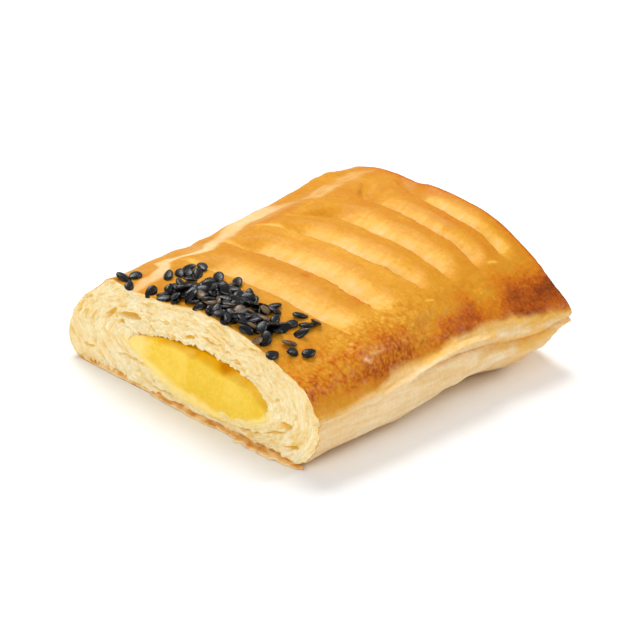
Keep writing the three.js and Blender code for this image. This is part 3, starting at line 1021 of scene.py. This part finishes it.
def crust_material():
    """Egg-glazed pastry crust, pale and dull where it isn't glazed."""
    n = Nodes("crust")
    bake, glaze, crazed = n.attribute("bake"), n.attribute("glaze"), n.attribute("crackle")
    broad = n.noise(n.place, 260, 4.0, 0.6)
    fine = n.noise(n.place, 1300, 4.0, 0.65)
    streak = n.noise(n.scaled(n.place, (260, 1300, 700)), 1.0, 3.0, 0.6, 0.6)
    bubbles = n.cells(n.place, 1500, 0.6)
    blotch = n.cells(n.scaled(n.place, (700, 900, 800)), 1.0, 0.5)
    browned = n.span(bake, 0.58, 0.8, 0.0, 1.0, True)
    varied = n.total(
        n.swing(broad, 0.16),
        n.swing(streak, n.span(crazed, 0.0, 1.0, 0.10, 0.02)),
        n.swing(fine, n.span(browned, 0.0, 1.0, 0.24, 0.36)),
        n.swing(n.total(bubbles, blotch), n.product(crazed, 0.25), middle=0.85),
    )
    glazed = n.ramp(n.total(bake, varied, clamp=True), BAKE_COLOURS)
    unglazed = n.ramp(n.total(n.attribute("tone"), varied, clamp=True), BAKE_COLOURS)
    colour = n.blend(n.attribute("pale"), glazed, unglazed)

    leaves = n.noise(n.scaled(n.place, (500, 90, 2400)), 1.0, 3.0, 0.6, 0.3)
    dull = n.maths("SUBTRACT", 1.0, glaze)
    relief = n.relief(
        (leaves, n.product(dull, 0.35), 0.4),
        (bubbles, n.product(browned, 0.35), 0.35),
        (broad, 0.3, 0.7),
        (streak, 0.3, 0.3),
        (fine, 0.2, 0.15),
    )
    rough = n.total(n.span(glaze, 0.0, 1.0, 0.72, 0.5), n.swing(broad, 0.3), clamp=True)
    coat = n.product(glaze, n.span(browned, 0.0, 1.0, 0.06, 0.10))
    coat = n.product(coat, n.span(broad, 0.35, 0.65, 0.5, 1.3))
    return n.finish(colour, rough, relief, 0.08, coat, 0.25)


# Colours of the crumb from fresh white strands to toasted
CRUMB_COLOURS = [
    (0.00, srgb(241, 231, 198)),
    (0.08, srgb(237, 218, 169)),
    (0.22, srgb(229, 194, 123)),
    (0.40, srgb(220, 168, 78)),
    (0.60, srgb(204, 138, 56)),
    (1.00, srgb(128, 64, 20)),
]


def crumb_material():
    """The inside of the pastry: cream, in thin torn layers, yellow in its gaps and at the filling, with
    painted shade in its cracks and pores.
    """
    n = Nodes("crumb")
    layer = n.attribute("layer", "Vector")
    sheets = n.noise(n.scaled(layer, (0.32, 1.7, 0.32)), 1.0, 5.0, 0.65, 0.8)
    fibres = n.noise(n.scaled(layer, (0.9, 4.5, 0.9)), 1.0, 3.0, 0.6, 0.4)
    grain = n.noise(n.place, 1500, 3.0, 0.6)
    broad = n.noise(n.place, 170, 4.0, 0.6)
    level = n.total(
        n.attribute("bake"),
        n.swing(sheets, 0.5, middle=0.47),
        n.swing(broad, 0.30),
        n.swing(grain, 0.16),
        n.swing(fibres, 0.2),
        0.04,
        clamp=True,
    )
    colour = n.ramp(level, CRUMB_COLOURS)
    # deep yellow of the gaps, with painted shade in the cracks and pores
    colour = n.blend(n.product(n.attribute("gap"), 0.95), colour, srgb(226, 178, 36))
    colour = n.blend(n.product(n.attribute("stain"), 0.8), colour, srgb(246, 220, 136))
    relief = n.relief((sheets, 0.4, 0.5), (fibres, 0.3, 0.3), (grain, 0.25, 0.15))
    rough = n.span(grain, 0.3, 0.7, 0.62, 0.8)
    return n.finish(colour, rough, relief, 0.15, 0.0, 0.3, subsurface=0.2)


def filling_material():
    """Smooth moist sweet potato paste, deeper yellow in painted shade under the roof and amber where it
    baked.
    """
    n = Nodes("filling")
    bake = n.attribute("bake")
    broad = n.noise(n.place, 220, 3.0, 0.55)
    grain = n.noise(n.place, 1700, 3.0, 0.6)
    fresh = n.ramp(n.total(broad, n.swing(grain, 0.9)), [
        (0.3, srgb(230, 189, 58)),
        (0.7, srgb(238, 202, 84)),
    ])
    # painted shade: deep yellow where the filling lies under the roof
    shaded = n.blend(n.product(n.attribute("gap"), 0.96), fresh, srgb(230, 174, 0))
    shaded = n.blend(n.product(n.attribute("rim"), 0.92), shaded, srgb(246, 219, 136))
    shaded = n.blend(n.attribute("scorch"), shaded, srgb(204, 134, 0))
    toasted = n.ramp(n.total(bake, n.swing(broad, 0.5)), [
        (0.0, srgb(238, 184, 50)),
        (0.6, srgb(236, 168, 44)),
        (1.0, srgb(196, 106, 26)),
    ])
    colour = n.blend(n.span(bake, 0.0, 0.35, 0.0, 1.0), shaded, toasted)
    relief = n.relief((broad, 0.25, 0.4), (grain, 0.22, 0.14))
    rough = n.span(bake, 0.0, 0.8, 0.5, 0.22)
    return n.finish(colour, rough, relief, 0.05, n.product(bake, 0.6), 0.12, subsurface=0.15)


def seed_material():
    """Black sesame: nearly black, some brownish, with a soft sheen and fine wrinkles."""
    n = Nodes("black_sesame")
    wrinkle = n.noise(n.place, 2600, 4.0, 0.6, 0.5)
    broad = n.noise(n.place, 800, 2.0, 0.5)
    colour = n.ramp(n.total(n.attribute("tone"), n.swing(broad, 0.5), clamp=True), [
        (0.0, srgb(5, 4, 5)),
        (0.5, srgb(14, 11, 11)),
        (0.8, srgb(44, 33, 24)),
        (1.0, srgb(108, 84, 58)),
    ])
    rough = n.span(wrinkle, 0.3, 0.7, 0.2, 0.36)
    return n.finish(colour, rough, n.relief((wrinkle, 0.5, 0.12)), 0.35)


def flake_material():
    """Thin brown flakes of the bottom crust."""
    n = Nodes("flakes")
    broad = n.noise(n.place, 500, 4.0, 0.65)
    fine = n.noise(n.place, 2200, 3.0, 0.6)
    colour = n.ramp(n.total(n.attribute("bake"), n.swing(broad, 0.45), clamp=True), [
        (0.15, srgb(240, 206, 150)),
        (0.4, srgb(226, 170, 96)),
        (0.6, srgb(204, 134, 56)),
        (0.85, srgb(166, 92, 28)),
    ])
    relief = n.relief((broad, 0.5, 0.35), (fine, 0.3, 0.15))
    return n.finish(colour, n.span(fine, 0.3, 0.7, 0.5, 0.7), relief, 0.12)


def floor_material():
    """A plain white floor with a fine grain."""
    n = Nodes("floor")
    grain = n.noise(n.place, 300, 2.0)
    tint = n.ramp(grain, [(0.0, (0.93, 0.93, 0.93, 1)), (1.0, (0.96, 0.96, 0.96, 1))])
    return n.finish(tint, 0.8, n.relief((grain, 0.02, 0.1)), 0.2)


# ---------------------------------------------------------------- seeds

class Ground:
    """Height of the surface on a fine grid over the seeded part of the top."""

    STEP = 0.15
    UNKNOWN = -1.0
    LOWEST = 12.0  # height from which a point counts as the top

    def __init__(self, grid, low, high):
        self.low = np.array(low, float)
        self.size = np.ceil((np.array(high) - low) / self.STEP).astype(int)
        self.height = np.full(self.size, self.UNKNOWN)
        points = grid.reshape(-1, 3)
        cell = np.round((points[:, :2] - self.low) / self.STEP).astype(int)
        inside = np.all((cell >= 1) & (cell < self.size - 1), axis=1) & (points[:, 2] > self.LOWEST)
        for dx, dy in itertools.product((-1, 0, 1), repeat=2):
            np.maximum.at(self.height, (cell[inside, 0] + dx, cell[inside, 1] + dy), points[inside, 2])

    def footprint(self, place, half, angle):
        """Cells under an ellipse, as two index arrays, and how far out each lies: the square of its
        distance from the middle, 0 to 1."""
        reach = int(max(half) / self.STEP) + 1
        centre = np.round((np.array(place) - self.low) / self.STEP).astype(int)
        i, j = np.mgrid[-reach : reach + 1, -reach : reach + 1]
        c, s = math.cos(angle), math.sin(angle)
        u = (i * c + j * s) * self.STEP / half[0]
        v = (j * c - i * s) * self.STEP / half[1]
        outward = u * u + v * v
        keep = outward < 1
        i, j = i[keep] + centre[0], j[keep] + centre[1]
        ok = (i >= 0) & (j >= 0) & (i < self.size[0]) & (j < self.size[1])
        return i[ok], j[ok], outward[keep][ok]


SEED_LENGTH = 3.45
SEED_WIDTH = 2.15
SEED_THICKNESS = 0.95
SEED_REST = 0.42  # share of a seed's sizes, each way from its middle, that rests on what is below
SEED_TRIES = 14
FEWEST_CELLS = 8  # known cells of the ground that a seed needs below it
HEAP_LEVEL = 23.7  # height up to which seeds settle freely
HEAP_TOP = 24.3

# Where the seeds fell: those that lie apart, and the middle, spread and number of each clump
LONE_SEEDS = [
    (-22.5, -37.6), (-21.6, -34.8), (-19.4, -39.2), (-14.2, -38.4), (-16.5, -30.9), (-15.5, -28.9),
    (-15.2, -26.2), (-13.8, -23.4), (-12.4, -26.6), (-11.9, -28.9), (-13.9, -27.7), (-9.1, -31.4),
    (-7.9, -28.6), (-7.4, -25.2), (-5.6, -27.2), (-3.1, -27.8), (-3.7, -24.6), (-9.7, -38.6),
    (9.1, -27.9), (11.9, -30.2), (14.4, -31.4), (14.5, -28.5), (13.6, -24.8), (16.8, -26.2),
    (17.7, -29.0), (18.5, -33.3), (20.4, -34.6), (22.6, -32.0), (19.4, -38.9), (16.0, -37.6),
    (17.0, -23.8),
]
SEED_CLUMPS = [
    ((-11.2, -35.2), (0.9, 1.2), 6),
    ((-6.8, -35.8), (1.5, 1.6), 14),
    ((-4.4, -30.8), (1.5, 1.0), 6),
    ((-1.0, -34.2), (1.8, 2.1), 20),
    ((2.2, -29.6), (1.3, 0.9), 6),
    ((3.8, -33.0), (1.4, 1.8), 11),
    ((5.2, -36.8), (1.9, 1.3), 15),
    ((8.4, -31.2), (1.2, 1.3), 7),
    ((10.2, -35.6), (1.6, 1.7), 15),
    ((13.6, -35.4), (1.2, 1.5), 8),
]


def seed_shape(around=12, along=9):
    """Points and faces of one flat teardrop seed, its point towards +X, about its middle."""
    t = (1 - np.cos(np.linspace(0, math.pi, along))) / 2
    width = np.sqrt(t) * (1 - t) ** 0.72
    width = width / width.max() * SEED_WIDTH / 2
    ring = np.linspace(0, 2 * math.pi, around, endpoint=False)
    points = []
    for step, half in zip(t[1:-1], width[1:-1]):
        thick = SEED_THICKNESS / 2 * (half / (SEED_WIDTH / 2)) ** 0.8
        dent = 1 - 0.22 * np.abs(np.sin(ring)) ** 3
        x = np.full(around, (step - 0.45) * SEED_LENGTH)
        points.append(np.stack([x, half * np.cos(ring), thick * dent * np.sin(ring)], axis=-1))
    body = np.concatenate(points)
    tips = np.array([[-0.45 * SEED_LENGTH, 0, 0], [0.55 * SEED_LENGTH, 0, 0]])
    rings = along - 2
    faces = ring_faces(rings, around, closed=False)
    near, far = len(body), len(body) + 1
    last = (rings - 1) * around
    for j in range(around):
        j2 = (j + 1) % around
        faces.append((near, j, j2))
        faces.append((far, last + j2, last + j))
    # these rings run the other way round than the outline does, so the faces are wound inwards
    return np.concatenate([body, tips]), faces


def resting_place(ground, middle, spread, random):
    """The lowest and most level of the places tried for a seed around a middle: the place, the
    seed's direction, the known cells under it, how far out each lies, and their level. None where
    too little of the crust is known."""
    best = None
    for _ in range(SEED_TRIES):
        place = np.array(middle) + random.normal(size=2) * spread
        place[1] = np.clip(place[1], CUT_Y + 0.1, FIRST_LIP_Y + 2.4)
        angle = random.uniform(0, 2 * math.pi)
        half = (SEED_LENGTH * SEED_REST, SEED_WIDTH * SEED_REST)
        i, j, outward = ground.footprint(place, half, angle)
        under = ground.height[i, j]
        known = under > ground.UNKNOWN
        if known.sum() < FEWEST_CELLS:
            continue
        level = np.percentile(under[known], 85)
        free = HEAP_LEVEL - 0.06 * max(0, -place[0]) - 0.05 * max(0, place[0] - 10)
        cost = max(0.0, level - free) + 0.2 * (under[known].max() - under[known].min())
        if best is None or cost < best[0]:
            best = (cost, place, angle, i[known], j[known], outward[known], level)
    return best[1:] if best else None


def seed_turn(angle, tilt):
    """The rotation of a seed that points along angle on a slope of tilt."""
    normal = Vector((-tilt[0], -tilt[1], 1)).normalized()
    side = normal.cross(Vector((math.cos(angle), math.sin(angle), 0))).normalized()
    return np.array(Matrix((side.cross(normal), side, normal)).transposed())


def black_sesame(crust):
    """All seeds as one mesh, each laid on the crust or on the seeds below it."""
    random = np.random.default_rng(7)
    ground = Ground(crust, (-28, CUT_Y - 3), (28, FIRST_LIP_Y + 5))
    shape, shape_faces = seed_shape()
    points, faces, tone = [], [], []
    wanted = [(place, (0.15, 0.15)) for place in LONE_SEEDS]
    wanted += [(middle, spread) for middle, spread, number in SEED_CLUMPS for _ in range(number)]
    for index in random.permutation(len(wanted)):
        best = resting_place(ground, *wanted[index], random)
        if best is None:
            continue
        place, angle, i, j, outward, level = best
        size = random.uniform(0.9, 1.1)
        px = i * ground.STEP + ground.low[0] - place[0]
        py = j * ground.STEP + ground.low[1] - place[1]
        plane = np.stack([px, py, np.ones_like(px)], axis=1)
        slope = np.linalg.lstsq(plane, ground.height[i, j], rcond=None)[0]
        tilt = np.clip(slope[:2], -0.55, 0.55) + random.normal(size=2) * 0.32
        lift = min(level, HEAP_TOP) + SEED_THICKNESS * SEED_REST * size
        stretch = [random.uniform(low, high) for low, high in ((0.94, 1.08), (0.9, 1.08), (0.85, 1.1))]
        start = len(points) * len(shape)
        faces.extend([v + start for v in face] for face in shape_faces)
        points.append(shape * (size * np.array(stretch)) @ seed_turn(angle, tilt).T + [*place, lift])
        tone.append(np.full(len(shape), 0.95 if random.random() < 0.11 else random.uniform(0.05, 0.55)))
        top = lift + SEED_THICKNESS * SEED_REST * (1 - outward**2) + px * tilt[0] + py * tilt[1]
        ground.height[i, j] = np.maximum(ground.height[i, j], top)
    shades = dict(tone=np.concatenate(tone))
    return new_object("black_sesame_seeds", np.concatenate(points), faces, shades, [seed_material()])


# ---------------------------------------------------------------- flakes

# Leaves of the bottom crust in front of the cut: from x, to x, reach, height at the root and seed
LEAVES = [
    (-31.0, -6.0, 0.4, 0.9, 201),
    (-12.0, 15.0, 1.2, 0.7, 211),
    (2.0, 30.0, 1.4, 0.6, 231),
    (12.2, 29.0, 2.2, 0.9, 221),
]
LEAF_ROWS_A_MM = 5
LEAF_COLUMNS = 7
LEAF_THICKNESS = 0.28


def leaf_points(start, stop, reach, height, seed):
    """Upper and lower points of a thin ragged leaf, in rows from start to stop along the cut."""
    t = np.linspace(0, 1, int((stop - start) * LEAF_ROWS_A_MM))[:, None]
    s = np.linspace(0, 1, LEAF_COLUMNS)[None, :]
    out = reach * between(0, 0.08, 0.9, 1.0, t) + 0.1
    out = out * (0.75 + 0.5 * noise(t * 5, 0.0, seed=seed) + 0.2 * noise(t * 13, 0.0, seed=seed + 1))
    x = mix(start, stop, t) + 0.1 * noise(t * 30, s * 3, seed=seed + 2)
    y = CUT_Y + 0.35 - np.maximum(out, 0.08) * s
    root = height * (0.75 + 0.25 * noise(t * 9, 1.0, seed=seed))
    z = root * (1 - s) ** 0.7 + 0.12 + 0.16 * noise(t * 16, s * 4, seed=seed + 3) * s
    upper_z = np.maximum(z, 0.1) + LEAF_THICKNESS * (1 - 0.6 * s)
    lower_z = np.maximum(z - 0.1, 0.0)
    return [np.stack(np.broadcast_arrays(x, y, side), axis=-1) for side in (upper_z, lower_z)]


def leaf_faces(rows, columns, offset):
    """Faces of a leaf, wound inwards: its upper side, its lower side, and the strip between their
    rims."""
    count = rows * columns
    faces = []
    for i, j in itertools.product(range(rows - 1), range(columns - 1)):
        a = offset + i * columns + j
        quad = (a, a + columns, a + columns + 1, a + 1)
        faces.append(quad)
        faces.append(tuple(v + count for v in quad[::-1]))
    rim = [i * columns for i in range(rows)]
    rim += [(rows - 1) * columns + j for j in range(1, columns)]
    rim += [i * columns + columns - 1 for i in range(rows - 2, -1, -1)]
    rim += list(range(columns - 2, 0, -1))
    for a, b in zip(rim, rim[1:] + rim[:1]):
        faces.append((offset + b, offset + a, offset + count + a, offset + count + b))
    return faces


def bottom_flakes():
    """Leaves of the browned bottom crust that stick out in front of the cut."""
    points, faces, bake = [], [], []
    for leaf in LEAVES:
        upper, lower = leaf_points(*leaf)
        rows, columns = upper.shape[:2]
        faces += leaf_faces(rows, columns, sum(len(p) for p in points))
        points += [upper.reshape(-1, 3), lower.reshape(-1, 3)]
        shade = 0.44 + 0.2 * noise(upper[..., 0] / 1.3, upper[..., 1] / 0.8, seed=leaf[-1] + 5)
        shade = shade - 0.3 * smooth(0.7, 1, np.linspace(0, 1, columns))[None, :]
        bake += [shade.ravel(), shade.ravel()]
    shades = dict(bake=np.concatenate(bake))
    return new_object("bottom_crust_flakes", np.concatenate(points), faces, shades, [flake_material()])


# ---------------------------------------------------------------- stage

CAMERA_AZIMUTH, CAMERA_ELEVATION, CAMERA_ROLL = 38.5, 27.0, 6.2
CAMERA_DISTANCE = 1000.0
VIEW_WIDTH = 131.0  # width of the view at the object
VIEW_SHIFT = (-1.1, -3.1)  # middle of the view from the middle of the bar, to the right and up
LIGHT_TARGET = (0, 0, 0.01)
FLOOR_HALF = 3.0


def camera():
    """A long lens that looks down at the cut from its right."""
    azimuth, elevation, roll = (math.radians(v) for v in (CAMERA_AZIMUTH, CAMERA_ELEVATION, CAMERA_ROLL))
    level = Vector((math.cos(azimuth), math.sin(azimuth), 0))
    ahead = Vector((math.sin(azimuth), -math.cos(azimuth), 0))
    back = ahead * math.cos(elevation) + Vector((0, 0, math.sin(elevation)))
    upright = back.cross(level)
    right = level * math.cos(roll) + upright * math.sin(roll)
    up = upright * math.cos(roll) - level * math.sin(roll)
    target = Vector((0, 0, 12)) + right * VIEW_SHIFT[0] + up * VIEW_SHIFT[1]
    data = bpy.data.cameras.new("camera")
    data.sensor_width = 36
    data.lens = CAMERA_DISTANCE * data.sensor_width / VIEW_WIDTH
    data.clip_start, data.clip_end = 0.05, 10
    made = bpy.data.objects.new("camera", data)
    turn = Matrix((right, up, back)).transposed().to_4x4()
    made.matrix_world = Matrix.Translation((target + back * CAMERA_DISTANCE) * MM) @ turn
    bpy.context.scene.collection.objects.link(made)
    bpy.context.scene.camera = made


def area_light(name, place, size, power):
    """A white disk lamp that shines at the object. Place and size are in metres."""
    data = bpy.data.lights.new(name, "AREA")
    data.shape = "DISK"
    data.size = size
    data.energy = power
    made = bpy.data.objects.new(name, data)
    made.location = place
    made.rotation_euler = (Vector(LIGHT_TARGET) - Vector(place)).to_track_quat("-Z", "Y").to_euler()
    bpy.context.scene.collection.objects.link(made)


def studio():
    """Even soft light, a little stronger from above and behind, on a plain white floor."""
    scene = bpy.context.scene
    scene.view_settings.view_transform = "Standard"
    world = bpy.data.worlds.new("studio")
    scene.world = world
    world.use_nodes = True
    background = world.node_tree.nodes["Background"]
    background.inputs[0].default_value = (1, 1, 1, 1)
    background.inputs[1].default_value = 0.42
    area_light("key", (-0.42, 0.22, 0.72), 0.5, 5.7)
    area_light("front", (0.25, -0.8, 0.4), 0.6, 4.2)
    area_light("rim", (0.38, 0.62, 0.52), 0.22, 1.6)

    mesh = bpy.data.meshes.new("floor")
    corners = [(x * FLOOR_HALF, y * FLOOR_HALF, 0) for x, y in ((-1, -1), (1, -1), (1, 1), (-1, 1))]
    mesh.from_pydata(corners, [], [(0, 1, 2, 3)])
    mesh.materials.append(floor_material())
    floor = bpy.data.objects.new("floor", mesh)
    scene.collection.objects.link(floor)


# ---------------------------------------------------------------- the part

def main():
    camera()
    studio()
    pastry = baked_pastry()
    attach(pastry, "root")
    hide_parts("pastry")
    filling = sweet_potato_filling()
    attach(filling, "root")
    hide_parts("filling")
    crust_by_cut = np.array([v.co for v in pastry.data.vertices][: OUTSIDE_RINGS * AROUND // 2]) / MM
    seeds = black_sesame(crust_by_cut)
    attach(seeds, "root")
    flakes = bottom_flakes()
    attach(flakes, "root")


main()
